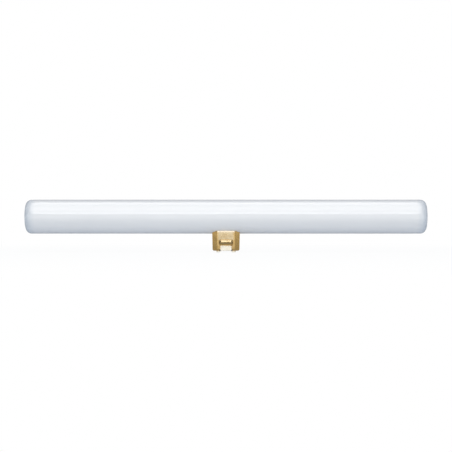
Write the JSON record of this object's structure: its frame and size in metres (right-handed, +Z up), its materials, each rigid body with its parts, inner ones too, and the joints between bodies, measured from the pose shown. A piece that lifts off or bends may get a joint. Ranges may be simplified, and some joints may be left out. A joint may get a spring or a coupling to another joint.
{
  "type": "tubular light bulb",
  "caption": "Straight opal glass line lamp with domed ends and a brass contact cap under its middle.",
  "frame": {"origin": "middle of the cap, on the plane that the cap's two feet stand on, straight below the middle of the tube", "axes": "+X along the tube, -Y towards the front contact, +Z up from the cap to the tube"},
  "size_m": [0.3, 0.0254, 0.0392],
  "materials": {
    "opal_glass": "glossy opal white, opaque",
    "cap_plastic": "satin ivory white",
    "brass_sheet": "satin, lightly brushed",
    "adhesive": "matt, cast",
    "tinned_wire": "tinned, dull bright",
    "solder": "soft bright"
  },
  "bodies": {
    "root": {"opal_tube": "opal_glass", "cap_insulator": "cap_plastic", "front_contact": "brass_sheet", "rear_contact": "brass_sheet", "adhesive_bed": "adhesive", "front_lead_wire": "tinned_wire", "rear_lead_wire": "tinned_wire", "front_solder_joint": "solder", "rear_solder_joint": "solder"}
  },
  "joints": []
}
